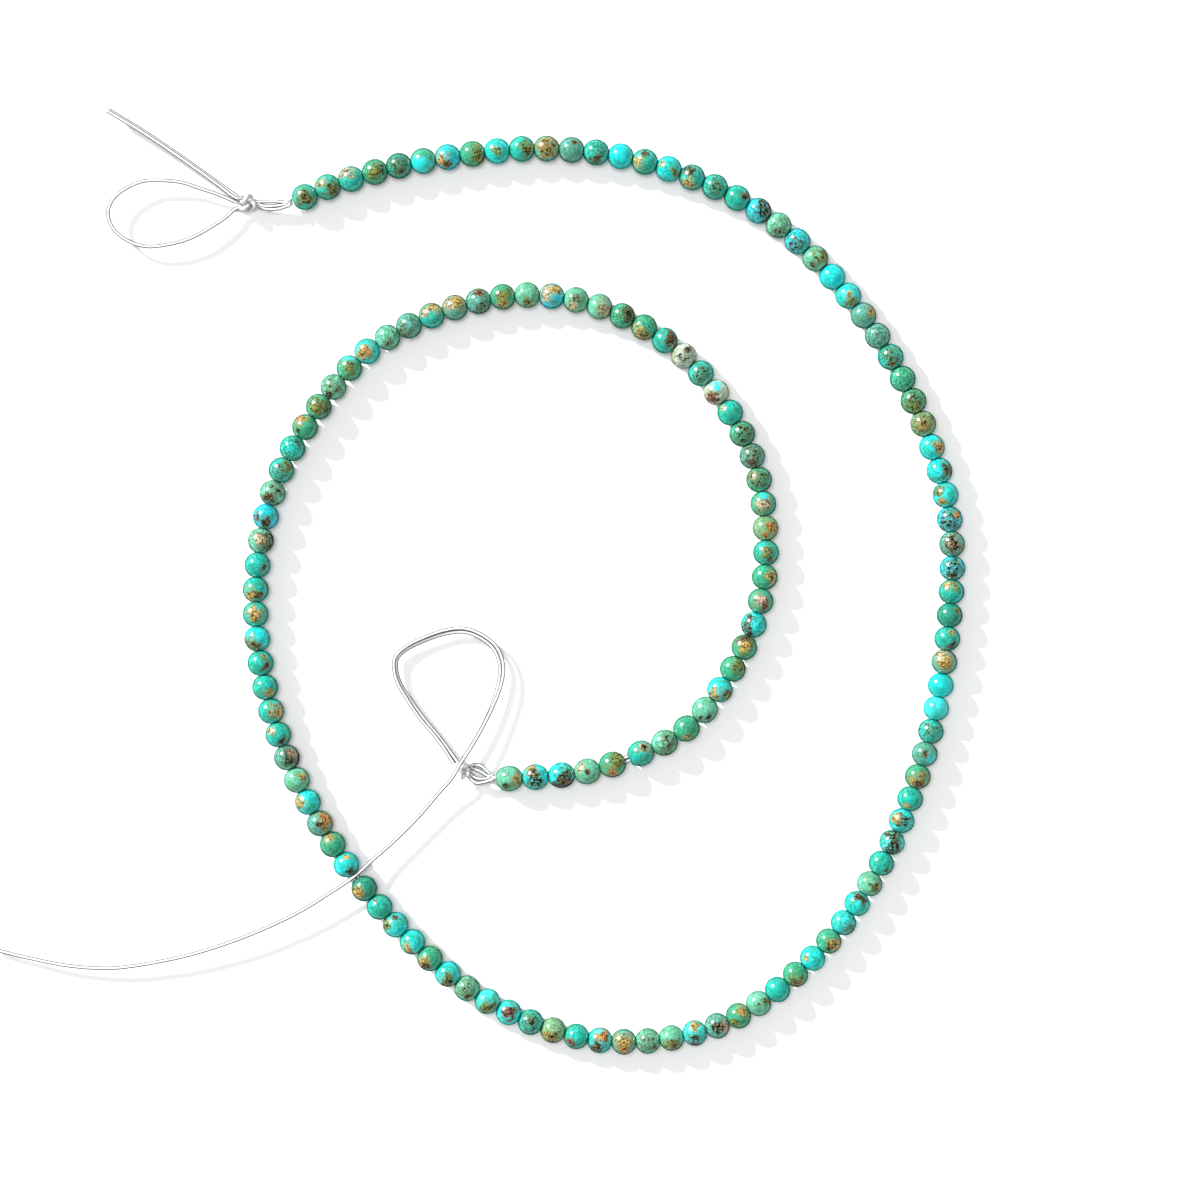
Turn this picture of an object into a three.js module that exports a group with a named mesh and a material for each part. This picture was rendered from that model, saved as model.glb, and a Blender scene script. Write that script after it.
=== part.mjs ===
import * as THREE from "three";

// A strand of round turquoise beads on clear nylon thread, laid open on a table in one and a half turns.
// Lengths are in millimetres and +Z is up. Every bead rests on the plane z = 0, and the origin lies there,
// under the middle of the space that the beads cover.

// Driving dimensions
const BEAD_DIAMETER = 3;
const BEAD_SIDES = 10;
const THREAD_DIAMETER = 0.45;
const THREAD_SIDES = 8;
const KNOT_SIDES = 10;
const KNOT_RINGS = 6;

// A knot's length lies along the thread. Its sag is how far its centre hangs below the beads' centres.
const OUTER_STOP_KNOT = { length: 0.8, width: 1.3, height: 1.1, sag: 0 };
const OUTER_LOOP_KNOT = { length: 2.2, width: 2.3, height: 2.3, sag: 0.3 };
const INNER_STOP_KNOT = { length: 0.8, width: 1.4, height: 1.1, sag: 0 };
const INNER_LOOP_KNOT = { length: 1.5, width: 1.9, height: 1.7, sag: 0.4 };

// The doubled thread between the two knots of each end bows apart into a small eye. The heading is the way
// that the knots and the eye lead away from the beads, counted from +X.
const OUTER_EYE_LENGTH = 3.0;
const OUTER_EYE_BOW = 0.45;
const OUTER_END_HEADING = THREE.MathUtils.degToRad(181);
const INNER_EYE_LENGTH = 1.8;
const INNER_EYE_BOW = 0.7;
const INNER_END_HEADING = THREE.MathUtils.degToRad(163);

// Clearances: what a knot leaves to the thread that runs into it, and to a thread that lies beside it
const SEAT_GAP = 0.15;
const STRAND_GAP = 0.1;

// A round bead drilled along its length. along and radius are shares of the bead's half length and half width.
const BEAD_SECTIONS = [
  { along: -0.8, radius: 0.68 },
  { along: -0.3, radius: 1 },
  { along: 0.3, radius: 1 },
  { along: 0.8, radius: 0.68 },
];

// The beads aren't all of one length. Up to each share of the route they are so many diameters long.
const BEAD_RUNS = [
  { until: 0.26, length: 0.951 },
  { until: 0.43, length: 0.901 },
  { until: 0.555, length: 0.918 },
  { until: 0.8, length: 0.936 },
  { until: 0.925, length: 0.932 },
  { until: 1, length: 0.995 },
];

// The long inner tail crosses the string where two beads stand apart, at a share of the route.
// Nearer the inner end the beads stand apart a second time, and the bare thread shows there.
const CROSSING = { share: 0.5478, width: 0.7 };
const OPEN_PLACE = { share: 0.955, width: 0.5 };

// The line of the holes, seen from above, from the first bead's outer end to the last bead's inner end
const STRING_ROUTE = [
  [-35.7, 45.2], [-31.7, 47.0], [-23.6, 49.4], [-15.0, 50.8], [-6.4, 51.4], [5.1, 49.8], [18.0, 44.2],
  [28.3, 34.4], [35.8, 22.3], [40.0, 8.7], [39.7, -5.3], [37.1, -18.5], [32.2, -30.9], [24.4, -41.8],
  [13.2, -49.8], [-0.3, -51.5], [-13.3, -47.0], [-23.9, -38.2], [-32.6, -26.6], [-38.2, -13.9],
  [-40.1, 0.1], [-37.4, 13.6], [-29.6, 25.7], [-25.2, 29.4], [-17.6, 32.9], [-9.0, 34.5], [-0.5, 33.2],
  [9.3, 27.5], [17.1, 16.2], [18.8, 4.5], [17.5, -3.2], [13.5, -11.0], [9.4, -15.7], [4.1, -18.5],
  [-2.0, -20.5], [-12.3, -21.4],
];

// Routes of the bare thread, each with its height above the table
const OUTER_LOOP_ROUTE = [
  [-42.3, 45.2, 1.3], [-44.4, 46.1, 1.45], [-46.5, 46.8, 1.6], [-48.7, 47.5, 1.7], [-51.0, 47.7, 1.75],
  [-53.1, 47.6, 1.75], [-55.0, 46.8, 1.75], [-56.4, 45.7, 1.75], [-57.1, 44.1, 1.75], [-56.6, 42.3, 1.75],
  [-54.9, 40.8, 1.7], [-52.7, 40.1, 1.7], [-49.8, 40.4, 1.7], [-47.5, 41.1, 1.65], [-45.3, 42.3, 1.5],
  [-43.4, 43.6, 1.3], [-42.4, 44.5, 1.2],
];
const OUTER_TAIL_ROUTE = [
  [-42.1, 45.7, 1.75], [-44.9, 47.7, 1.9], [-48.7, 50.4, 1.95], [-53.0, 53.3, 1.9], [-57.1, 55.8, 1.8],
];
const INNER_THREAD_ROUTE = [
  [-17.2, -19.6, 1.4], [-19.0, -16.9, 1.3], [-21.1, -14.4, 1.2], [-22.6, -12.2, 1.15], [-23.9, -9.8, 1.15],
  [-24.1, -7.6, 1.15], [-23.2, -6.4, 1.15], [-20.9, -5.1, 1.15], [-17.9, -4.1, 1.15], [-15.9, -4.0, 1.2],
  [-14.0, -4.7, 1.25], [-12.3, -6.1, 1.35], [-11.5, -8.3, 1.5], [-11.8, -10.6, 1.65], [-13.2, -14.0, 1.85],
  [-15.0, -17.3, 2.05], [-16.4, -19.5, 2.2], [-17.4, -21.2, 2.1], [-18.9, -22.9, 1.8], [-21.3, -25.7, 1.6],
  [-24.1, -28.5, 1.6], [-26.5, -30.6, 1.75], [-28.6, -32.5, 2.1], [-31.7, -34.6, 2.05], [-35.5, -36.9, 1.95],
  [-41.8, -39.7, 1.85], [-48.0, -41.7, 1.65], [-54.1, -42.9, 1.45], [-57.2, -43.2, 1.3], [-61.8, -42.9, 1.15],
  [-66.5, -42.0, 0.9], [-70.2, -41.1, 0.7],
];
const INNER_SECOND_ROUTE = [
  [-16.7, -19.3, 1.35], [-18.5, -16.6, 1.25], [-20.5, -14.1, 1.15], [-22.1, -11.9, 1.1], [-23.3, -9.7, 1.1],
  [-23.4, -7.9, 1.1], [-22.8, -6.9, 1.1], [-20.7, -5.7, 1.1], [-17.8, -4.7, 1.1], [-16.1, -4.6, 1.1],
  [-14.3, -5.3, 1.1], [-12.9, -6.5, 1.1], [-12.1, -8.3, 1.1], [-12.3, -10.5, 1.1], [-13.5, -13.8, 1.15],
  [-15.2, -17.1, 1.2], [-16.2, -18.8, 1.25],
];

// Steps along each stretch of bare thread
const OUTER_LOOP_STEPS = 15;
const OUTER_TAIL_STEPS = 4;
const INNER_THREAD_STEPS = 34;
const INNER_SECOND_STEPS = 16;
const EYE_STEPS = 3;

// Worked out from the sizes above
const BEAD_RADIUS = BEAD_DIAMETER / 2;
const THREAD_RADIUS = THREAD_DIAMETER / 2;
const HOLE_HEIGHT = BEAD_RADIUS;
const STRAND_PITCH = THREAD_DIAMETER + STRAND_GAP;

// Materials
const turquoise = new THREE.MeshStandardMaterial({ color: 0x45b3a0, roughness: 0.22, metalness: 0 });
const nylon = new THREE.MeshStandardMaterial({ color: 0xeeeeea, roughness: 0.15, metalness: 0 });

function curveThrough(points) {
  const curve = new THREE.CatmullRomCurve3(points, false, "centripetal");
  curve.arcLengthDivisions = 1500;
  return curve;
}

function curveOfRoute(route) {
  return curveThrough(route.map(([x, y, z]) => new THREE.Vector3(x, y, z)));
}

const stringCurve = curveThrough(STRING_ROUTE.map(([x, y]) => new THREE.Vector3(x, y, HOLE_HEIGHT)));
const stringLength = stringCurve.getLength();

// Beads laid from one distance along the route to another: where each one starts, how long it is, and how far
// it stands from the bead before. What is left over is spread evenly between them.
function layBeads(from, to) {
  const beads = [];
  let along = from;
  let isOpened = from > OPEN_PLACE.share * stringLength;
  for (;;) {
    const share = along / stringLength;
    const run = BEAD_RUNS.find(({ until }) => share < until) ?? BEAD_RUNS[BEAD_RUNS.length - 1];
    const length = run.length * BEAD_DIAMETER;
    const opens = !isOpened && share > OPEN_PLACE.share ? OPEN_PLACE.width : 0;
    if (along + opens + length > to) break;
    beads.push({ start: along + opens, length, opens });
    along += opens + length;
    isOpened = isOpened || opens > 0;
  }
  const play = (to - along) / (beads.length - 1);
  return beads.map((bead, index) => ({ ...bead, start: bead.start + index * play }));
}

// The rings of a run of beads on their thread, as a distance along the route and a radius
function ringsOfBeads(beads, stubBefore, stubAfter) {
  const first = beads[0];
  const last = beads[beads.length - 1];
  const rings = [];
  if (stubBefore > 0) rings.push({ along: first.start - stubBefore, radius: THREAD_RADIUS });
  beads.forEach((bead, index) => {
    const middle = bead.start + bead.length / 2;
    const touchesBefore = index > 0 && bead.opens === 0;
    if (!touchesBefore) rings.push({ along: bead.start, radius: THREAD_RADIUS });
    for (const { along, radius } of BEAD_SECTIONS) {
      rings.push({ along: middle + (along * bead.length) / 2, radius: radius * BEAD_RADIUS });
    }
    rings.push({ along: bead.start + bead.length, radius: THREAD_RADIUS });
  });
  if (stubAfter > 0) rings.push({ along: last.start + last.length + stubAfter, radius: THREAD_RADIUS });
  return rings;
}

// One body swept along the string's curve. Each ring has a flat side below and above, and a corner at each side,
// so that a bead is as wide and as high as its diameter and rests on a flat.
function sweptBeads(rings) {
  const positions = [];
  const index = [];
  const up = new THREE.Vector3(0, 0, 1);
  const flatToFlat = 1 / Math.cos(Math.PI / BEAD_SIDES);
  for (const { along, radius } of rings) {
    const share = THREE.MathUtils.clamp(along / stringLength, 0, 1);
    const centre = stringCurve.getPointAt(share);
    const forward = stringCurve.getTangentAt(share);
    const side = new THREE.Vector3().crossVectors(forward, up).normalize();
    for (let corner = 0; corner < BEAD_SIDES; corner++) {
      const angle = ((corner + 0.5) / BEAD_SIDES) * 2 * Math.PI;
      const point = centre.clone();
      point.addScaledVector(side, radius * Math.sin(angle));
      point.addScaledVector(up, radius * flatToFlat * Math.cos(angle));
      positions.push(point.x, point.y, point.z);
    }
  }
  const cornerAt = (ring, corner) => ring * BEAD_SIDES + (corner % BEAD_SIDES);
  for (let ring = 0; ring < rings.length - 1; ring++) {
    for (let corner = 0; corner < BEAD_SIDES; corner++) {
      const near = cornerAt(ring, corner);
      const nearNext = cornerAt(ring, corner + 1);
      const far = cornerAt(ring + 1, corner);
      const farNext = cornerAt(ring + 1, corner + 1);
      index.push(near, farNext, far, near, nearNext, farNext);
    }
  }
  const lastRing = rings.length - 1;
  for (let corner = 1; corner < BEAD_SIDES - 1; corner++) {
    index.push(cornerAt(0, 0), cornerAt(0, corner + 1), cornerAt(0, corner));
    index.push(cornerAt(lastRing, 0), cornerAt(lastRing, corner), cornerAt(lastRing, corner + 1));
  }
  const geometry = new THREE.BufferGeometry();
  geometry.setAttribute("position", new THREE.Float32BufferAttribute(positions, 3));
  geometry.setIndex(index);
  geometry.computeVertexNormals();
  return geometry;
}

function threadGeometry(curve, steps) {
  const corners = [];
  for (let corner = 0; corner < THREAD_SIDES; corner++) {
    const angle = (corner / THREAD_SIDES) * 2 * Math.PI;
    corners.push(new THREE.Vector2(THREAD_RADIUS * Math.cos(angle), THREAD_RADIUS * Math.sin(angle)));
  }
  return new THREE.ExtrudeGeometry(new THREE.Shape(corners), {
    steps,
    extrudePath: curve,
    bevelEnabled: false,
  });
}

function addMesh(name, geometry, material) {
  const mesh = new THREE.Mesh(geometry, material.clone());
  mesh.name = name;
  necklace.add(mesh);
  return mesh;
}

// A frame at one end of the string: its tip, and the level direction in which its knots lie
function stringEnd(share, heading) {
  const tip = stringCurve.getPointAt(share);
  const away = new THREE.Vector3(Math.cos(heading), Math.sin(heading), 0);
  const side = new THREE.Vector3(-away.y, away.x, 0);
  return { tip, away, side, heading };
}

// The centre of a knot that starts at a distance from the string's tip
function knotCentre(end, distance, knot) {
  const centre = end.tip.clone().addScaledVector(end.away, distance + knot.length / 2);
  centre.z -= knot.sag;
  return centre;
}

function addKnot(name, centre, heading, knot) {
  const geometry = new THREE.SphereGeometry(0.5, KNOT_SIDES, KNOT_RINGS);
  geometry.rotateX(Math.PI / 2);
  geometry.scale(knot.length, knot.width, knot.height);
  const mesh = addMesh(name, geometry, nylon);
  mesh.position.copy(centre);
  mesh.rotation.z = heading;
}

// The two strands of the eye between the knots of one end, one bowed to each side
function addEye(prefix, end, nearDistance, farDistance, nearCentre, farCentre, bow) {
  for (const [name, sign] of [["left", 1], ["right", -1]]) {
    const nearPoint = end.tip.clone().addScaledVector(end.away, nearDistance);
    const farPoint = end.tip.clone().addScaledVector(end.away, farDistance);
    nearPoint.z = nearCentre.z;
    farPoint.z = farCentre.z;
    nearPoint.addScaledVector(end.side, (sign * STRAND_PITCH) / 2);
    farPoint.addScaledVector(end.side, (sign * STRAND_PITCH) / 2);
    const middle = nearPoint.clone().lerp(farPoint, 0.5).addScaledVector(end.side, sign * bow);
    const curve = curveThrough([nearPoint, middle, farPoint]);
    addMesh(`${prefix}_eye_${name}`, threadGeometry(curve, EYE_STEPS), nylon);
  }
}

// Stop knot, eye and loop knot in a row from one end of the string
function addKnottedEnd(prefix, end, stopKnot, loopKnot, eyeLength, bow) {
  const eyeStart = SEAT_GAP + stopKnot.length + SEAT_GAP;
  const eyeEnd = eyeStart + eyeLength;
  const stopCentre = knotCentre(end, SEAT_GAP, stopKnot);
  const loopCentre = knotCentre(end, eyeEnd + SEAT_GAP, loopKnot);
  addKnot(`${prefix}_stop_knot`, stopCentre, end.heading, stopKnot);
  addKnot(`${prefix}_loop_knot`, loopCentre, end.heading, loopKnot);
  addEye(prefix, end, eyeStart, eyeEnd, stopCentre, loopCentre, bow);
}

function shiftedSideways(route, distance) {
  const first = new THREE.Vector3(...route[0]);
  const last = new THREE.Vector3(...route[route.length - 1]);
  const along = last.sub(first).setZ(0).normalize();
  return route.map(([x, y, z]) => [x - along.y * distance, y + along.x * distance, z]);
}

const necklace = new THREE.Group();

// The beads, in two strings that meet where the tail crosses them
const crossingAlong = CROSSING.share * stringLength;
const outerBeads = layBeads(0, crossingAlong - CROSSING.width / 2);
const innerBeads = layBeads(crossingAlong + CROSSING.width / 2, stringLength);
const stub = (CROSSING.width - SEAT_GAP) / 2;
const outerRings = ringsOfBeads(outerBeads, 0, stub);
const innerRings = ringsOfBeads(innerBeads, stub, 0);
addMesh("bead_string_outer", sweptBeads(outerRings), turquoise);
addMesh("bead_string_inner", sweptBeads(innerRings), turquoise);

// Knots and eyes at both ends
const outerEnd = stringEnd(0, OUTER_END_HEADING);
const innerEnd = stringEnd(1, INNER_END_HEADING);
addKnottedEnd("outer", outerEnd, OUTER_STOP_KNOT, OUTER_LOOP_KNOT, OUTER_EYE_LENGTH, OUTER_EYE_BOW);
addKnottedEnd("inner", innerEnd, INNER_STOP_KNOT, INNER_LOOP_KNOT, INNER_EYE_LENGTH, INNER_EYE_BOW);

// Loops and tails
const outerTailLeft = curveOfRoute(shiftedSideways(OUTER_TAIL_ROUTE, STRAND_PITCH / 2));
const outerTailRight = curveOfRoute(shiftedSideways(OUTER_TAIL_ROUTE, -STRAND_PITCH / 2));
addMesh("outer_loop_thread", threadGeometry(curveOfRoute(OUTER_LOOP_ROUTE), OUTER_LOOP_STEPS), nylon);
addMesh("outer_tail_thread", threadGeometry(outerTailLeft, OUTER_TAIL_STEPS), nylon);
addMesh("outer_tail_second_thread", threadGeometry(outerTailRight, OUTER_TAIL_STEPS), nylon);
addMesh("inner_loop_and_tail_thread", threadGeometry(curveOfRoute(INNER_THREAD_ROUTE), INNER_THREAD_STEPS), nylon);
addMesh("inner_loop_second_thread", threadGeometry(curveOfRoute(INNER_SECOND_ROUTE), INNER_SECOND_STEPS), nylon);

export default necklace;
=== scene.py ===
"""An open strand of round turquoise beads on clear nylon thread, laid on a pale table.

The beads, the loops and tails of thread, the knots and the small eyes between them are made here,
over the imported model's own places. Lengths are in metres, and +Z is up.
"""

import math
import random
from bisect import bisect_right
from typing import NamedTuple

import bpy
from bpy.props import FloatProperty, FloatVectorProperty, IntProperty, PointerProperty
from mathutils import Matrix, Vector


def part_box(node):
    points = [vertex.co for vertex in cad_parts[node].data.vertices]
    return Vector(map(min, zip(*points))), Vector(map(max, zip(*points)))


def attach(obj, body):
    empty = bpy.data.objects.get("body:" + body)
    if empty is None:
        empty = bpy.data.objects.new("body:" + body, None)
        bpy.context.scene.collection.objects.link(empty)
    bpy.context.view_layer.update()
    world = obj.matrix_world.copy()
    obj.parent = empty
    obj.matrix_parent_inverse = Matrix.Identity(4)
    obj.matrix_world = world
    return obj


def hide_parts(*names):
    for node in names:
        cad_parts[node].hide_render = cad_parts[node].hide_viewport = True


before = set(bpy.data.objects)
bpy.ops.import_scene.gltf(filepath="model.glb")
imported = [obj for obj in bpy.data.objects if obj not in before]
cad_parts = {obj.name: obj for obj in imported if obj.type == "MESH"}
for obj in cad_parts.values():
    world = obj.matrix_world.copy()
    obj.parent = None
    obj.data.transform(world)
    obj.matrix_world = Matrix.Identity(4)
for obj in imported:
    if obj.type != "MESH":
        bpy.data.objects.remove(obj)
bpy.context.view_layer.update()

bl_info = {
    "name": "Turquoise bead strand",
    "version": (1, 0, 0),
    "blender": (4, 5, 0),
    "location": "View3D > Sidebar > Bead strand",
    "description": "An open strand of turquoise beads on knotted nylon thread",
    "category": "Object",
}

# Routes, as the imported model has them

# The line of the holes, from the first bead's outer end to the last bead's inner end
STRING_ROUTE = [
    (-0.0357, 0.0452), (-0.0317, 0.0470), (-0.0236, 0.0494), (-0.0150, 0.0508),
    (-0.0064, 0.0514), (0.0051, 0.0498), (0.0180, 0.0442), (0.0283, 0.0344),
    (0.0358, 0.0223), (0.0400, 0.0087), (0.0397, -0.0053), (0.0371, -0.0185),
    (0.0322, -0.0309), (0.0244, -0.0418), (0.0132, -0.0498), (-0.0003, -0.0515),
    (-0.0133, -0.0470), (-0.0239, -0.0382), (-0.0326, -0.0266), (-0.0382, -0.0139),
    (-0.0401, 0.0001), (-0.0374, 0.0136), (-0.0296, 0.0257), (-0.0252, 0.0294),
    (-0.0176, 0.0329), (-0.0090, 0.0345), (-0.0005, 0.0332), (0.0093, 0.0275),
    (0.0171, 0.0162), (0.0188, 0.0045), (0.0175, -0.0032), (0.0135, -0.0110),
    (0.0094, -0.0157), (0.0041, -0.0185), (-0.0020, -0.0205), (-0.0123, -0.0214),
]

# Bare thread, each point with its height above the table
OUTER_LOOP_ROUTE = [
    (-0.0423, 0.0452, 0.00130), (-0.0444, 0.0461, 0.00145), (-0.0465, 0.0468, 0.00160),
    (-0.0487, 0.0475, 0.00170), (-0.0510, 0.0477, 0.00175), (-0.0531, 0.0476, 0.00175),
    (-0.0550, 0.0468, 0.00175), (-0.0564, 0.0457, 0.00175), (-0.0571, 0.0441, 0.00175),
    (-0.0566, 0.0423, 0.00175), (-0.0549, 0.0408, 0.00170), (-0.0527, 0.0401, 0.00170),
    (-0.0498, 0.0404, 0.00170), (-0.0475, 0.0411, 0.00165), (-0.0453, 0.0423, 0.00150),
    (-0.0434, 0.0436, 0.00130), (-0.0424, 0.0445, 0.00120),
]
OUTER_TAIL_ROUTE = [
    (-0.0421, 0.0457, 0.00175), (-0.0449, 0.0477, 0.00190), (-0.0487, 0.0504, 0.00195),
    (-0.0530, 0.0533, 0.00190), (-0.0571, 0.0558, 0.00180),
]
# The turn that the thread makes inside the outer knot, from the end of the loop to the start of
# the tail
OUTER_KNOT_TURN = [
    (-0.0413, 0.0448, 0.00125), (-0.0410, 0.0455, 0.00150), (-0.0415, 0.0457, 0.00168),
]
INNER_THREAD_ROUTE = [
    (-0.0172, -0.0196, 0.00140), (-0.0190, -0.0169, 0.00130), (-0.0211, -0.0144, 0.00120),
    (-0.0226, -0.0122, 0.00115), (-0.0239, -0.0098, 0.00115), (-0.0241, -0.0076, 0.00115),
    (-0.0232, -0.0064, 0.00115), (-0.0209, -0.0051, 0.00115), (-0.0179, -0.0041, 0.00115),
    (-0.0159, -0.0040, 0.00120), (-0.0140, -0.0047, 0.00125), (-0.0123, -0.0061, 0.00135),
    (-0.0115, -0.0083, 0.00150), (-0.0118, -0.0106, 0.00165), (-0.0132, -0.0140, 0.00185),
    (-0.0150, -0.0173, 0.00205), (-0.0164, -0.0195, 0.00220), (-0.0174, -0.0212, 0.00210),
    (-0.0189, -0.0229, 0.00180), (-0.0213, -0.0257, 0.00160), (-0.0241, -0.0285, 0.00160),
    (-0.0265, -0.0306, 0.00175), (-0.0286, -0.0325, 0.00210), (-0.0317, -0.0346, 0.00205),
    (-0.0355, -0.0369, 0.00195), (-0.0418, -0.0397, 0.00185), (-0.0480, -0.0417, 0.00165),
    (-0.0541, -0.0429, 0.00145), (-0.0572, -0.0432, 0.00130), (-0.0618, -0.0429, 0.00115),
    (-0.0665, -0.0420, 0.00090), (-0.0702, -0.0411, 0.00070),
]
INNER_SECOND_ROUTE = [
    (-0.0168, -0.0194, 0.00125), (-0.01876, -0.01672, 0.00094), (-0.02083, -0.0142, 0.00088),
    (-0.02234, -0.01205, 0.00079), (-0.02363, -0.00975, 0.00077), (-0.02384, -0.00768, 0.00077),
    (-0.02305, -0.00666, 0.00079), (-0.02077, -0.00546, 0.00088), (-0.01786, -0.00451, 0.00093),
    (-0.0159, -0.00441, 0.00098), (-0.01416, -0.00507, 0.00100), (-0.01263, -0.00635, 0.00110),
    (-0.01191, -0.0083, 0.00110), (-0.01214, -0.01053, 0.00110), (-0.01329, -0.01396, 0.00115),
    (-0.01505, -0.01727, 0.00120), (-0.0162, -0.0190, 0.00125),
]

# How the beads lie along the string: up to each share of the route, so many diameters long
BEAD_RUNS = [
    (0.26, 0.951), (0.43, 0.901), (0.555, 0.918), (0.8, 0.936), (0.925, 0.932), (1.0, 0.995),
]
# The tail crosses the string between two beads, and a second open place follows
CROSSING_SHARE, CROSSING_WIDTH = 0.5478, 0.0007
OPEN_SHARE, OPEN_WIDTH = 0.955, 0.0005

# The eyes between the knots of each end, strand by strand, seen from above
OUTER_EYE = [
    [(-0.0402, 0.0453), (-0.0390, 0.0453), (-0.0378, 0.0453), (-0.0366, 0.0452)],
    [(-0.0400, 0.0451), (-0.0391, 0.0448), (-0.0378, 0.0448), (-0.0365, 0.0450)],
    [(-0.0400, 0.0449), (-0.0391, 0.0445), (-0.0382, 0.0444), (-0.0373, 0.0445), (-0.0364, 0.0448)],
]
INNER_EYE = [
    [(-0.0153, -0.0199), (-0.0148, -0.0197), (-0.0140, -0.0199), (-0.0131, -0.0207)],
    [(-0.0153, -0.0200), (-0.0148, -0.0202), (-0.0141, -0.0205), (-0.0130, -0.0212)],
    [(-0.0155, -0.0205), (-0.0151, -0.0210), (-0.0144, -0.0213), (-0.0136, -0.0213),
     (-0.0130, -0.0212)],
    [(-0.0156, -0.0207), (-0.0152, -0.0214), (-0.0146, -0.0218), (-0.0138, -0.0217),
     (-0.0130, -0.0215)],
]

# Each knot: its node, its drawn-up strands as (size, turn, tilt) and what bulges out of it, from
# its centre
KNOTS = [
    ("outer_loop_knot", [(1.0, 50, 10), (0.78, 95, -12)], []),
    ("outer_stop_knot", [(1.0, 0, 0), (0.7, 60, 0)], []),
    ("inner_loop_knot", [(0.95, 15, 8), (0.75, 70, -10)], [
        [(-0.0005, 0.0002, 0.0), (-0.00048, -0.0005, 0.0002), (-0.0003, -0.00095, 0.0002),
         (0.0, -0.0005, 0.0002), (0.0003, -0.0001, 0.0)],
    ]),
    ("inner_stop_knot", [(1.0, 80, 0), (0.7, 20, 0)], []),
]

# What each stone looks like, in the order of the string. A stone is a letter for its body colour,
# then up to two marks of three signs each: what it is, where it lies as an hour on a clock face
# (a, b and c are 10, 11 and 12, and 0 is the middle), and how large it is, from 1 to 9.
STONES = """
To06k02 Tga4o45 Twb5 Go04s33 Dn53s04 Gc77 Bg85n63 Go36n41 Co03 To35n42 Tg08s05 Kn12 Tn63s33 C
Tg94nc3 Cga2o43 Tvb4g74 Ts04 Tn33 Bv37 Ms64 Bs75 Mo35n72 C Cg03o54 Kg23 Ks02 Ts05r62 Gs21 Gs05o64
Og05s06 Cg34 Cn33s35 Cg73oa4 Bs07y22 Kp05v05 Bs06k62 Tgb3o13 Do22 Tk53g12 Kwb5g05 C P Ts04nb2
Kc44n02 Gy66n63 Tg72 Cv05ga3 Pvc5v65 Tn52 Mk01o44 Ck23nc3 Cs54 Gg45k62 Cg92 Go65n62 T Mo23n01
Gg14o73 Kp34v04 Pgc3v64 Mo65n52 Mk42s04 Kg06y63 Cy15n74 Tk73r83 Og75s64 Ts05 Cr05 Pn42o64 Ms05k62
Co65k52 Gg84n73 Cg74 Co94nc2 Tnb2 Dg84y72 Cgc2k53 Gyb3 Ky25k02 Cg94 Mg23 Kv36p23 Twa3k53 Tg35 Tg53
Tn43o12 Co76n63 Tg05 Tg75n53 Tn43 Mv37w04 Bn64n93 Mn74s24 Ts05o23 Ts22 Gyb4k82 Go05s34 Ms04n73
Gcc4o05 Cy04g84 Ms63 Ks74 Twa4g14 Kwb6g14 Krc3s54 Go05g64 Mo63 Bwa6g14 Mw74n03 Mw46 Gv35s25
Gg75s63 Tr35n35 Ws06k12 Ts05 Wr75cc4 Twa2 Gs06 Kn64s06 Gwa3s06 Gw05cc3 Oy34y63 To04n53 Gg34
Gp05r53 Ckb3v84 Gnc5g04 Go25 Co45g84 Mk72k52 Gg62 Ms15s54 Tw14k12 Go26y64 Mwa3n02 Cn55v56 Cgb4v05
Mg34k72
""".split()

BODY_COLOURS = {
    "T": "teal", "C": "cyan", "B": "blue", "P": "pale_cyan", "G": "green",
    "M": "mint", "K": "grey_green", "D": "deep_teal", "O": "olive_green", "W": "cream",
}
MARK_COLOURS = {
    "g": "gold", "o": "olive", "n": "brown", "r": "rust", "k": "black", "w": "tan",
    "p": "pink", "y": "amber", "c": "cyan", "s": "black", "v": "black",
}
# How a mark breaks up: a patch, a web of veins, or specks
MARK_KINDS = {"v": (0.0, 1.0, 0.0), "s": (0.0, 0.0, 1.0)}
PATCH = (1.0, 0.0, 0.0)
# How far from the middle of the stone a mark on the clock face lies, and how its size grows
MARK_PLACE = 0.62
MARK_REACH = 0.15
# How mottled a stone is all over: with no mark, with patches, and with veins or specks
CLEAN_MOTTLE, PATCHED_MOTTLE, BROKEN_MOTTLE = 0.25, 0.45, 0.85
# How far a cyan mark breaks up into grains, where the others have 1
CYAN_GRAINED = 0.1
# How far the noises of one bead may be from those of another, so that no two look alike
SHIFT_RANGE = (5, 60)

# The bead's form: its rows and sides, how much wider than the hole its worn lip is, and where, in
# half bead lengths from the middle, the wall of the hole starts
BEAD_ROWS, BEAD_SIDES = 13, 24
LIP_WIDTH, LIP_END = 1.12, 0.975

# Steps between two points of a route, on the string, the bare thread, the eyes and the short
# second tail
STRING_PIECES, THREAD_PIECES, EYE_PIECES, TAIL_PIECES = 40, 8, 10, 12
# Steps of the thread inside the beads, and of a knot
INSIDE_STEPS, KNOT_STEPS = 400, 72
# How far apart the middles of two strands are where one lies on the other, in strand widths
STRAND_EASE = 1.03
# How far a three-lobed knot reaches in x and y before it is fitted to its box, and the least room
# for it
KNOT_SPAN, KNOT_ROOM = (2.6, 2.9), 0.0001

# The noises on a bead whose radius is 1: scale, detail, roughness and distortion
CLOUD_NOISE, GRAIN_NOISE = (1.5, 4.0, 0.6, 0.5), (3.8, 3.0, 0.7, 0.0)
DUST_NOISE, BEND_NOISE = (7.0, 2.0, 0.6, 0.0), (3.0, 2.0, 0.5, 0.0)
VEIN_SCALE, SPECK_SCALE = 2.9, 3.1
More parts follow.
